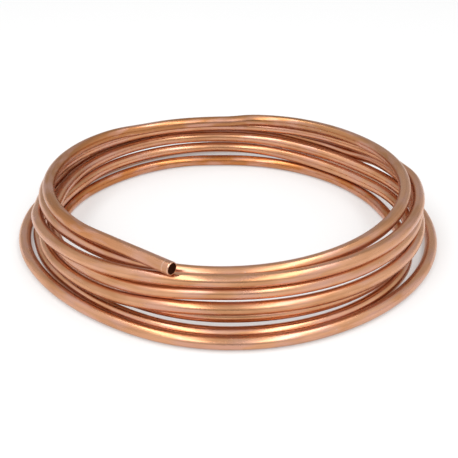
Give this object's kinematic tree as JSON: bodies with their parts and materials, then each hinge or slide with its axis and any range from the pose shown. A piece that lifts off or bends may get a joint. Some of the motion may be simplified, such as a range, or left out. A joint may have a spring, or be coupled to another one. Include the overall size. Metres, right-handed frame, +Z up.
{
  "type": "copper tube coil",
  "caption": "Loose flat-lying coil of bare soft copper tube with an open cut end at the top and one on the floor, bent and cut to length for water, gas or refrigerant lines.",
  "frame": {"origin": "centre of the coil's outline, on the floor it lies on", "axes": "+Z up along the coil's axis, +X to the right and +Y to the back as seen from the side where the free end lies"},
  "size_m": [0.3541, 0.354, 0.0616],
  "materials": {
    "copper": "bright annealed drawn copper, satin"
  },
  "bodies": {
    "root": {"copper_tube": "copper"}
  },
  "joints": []
}
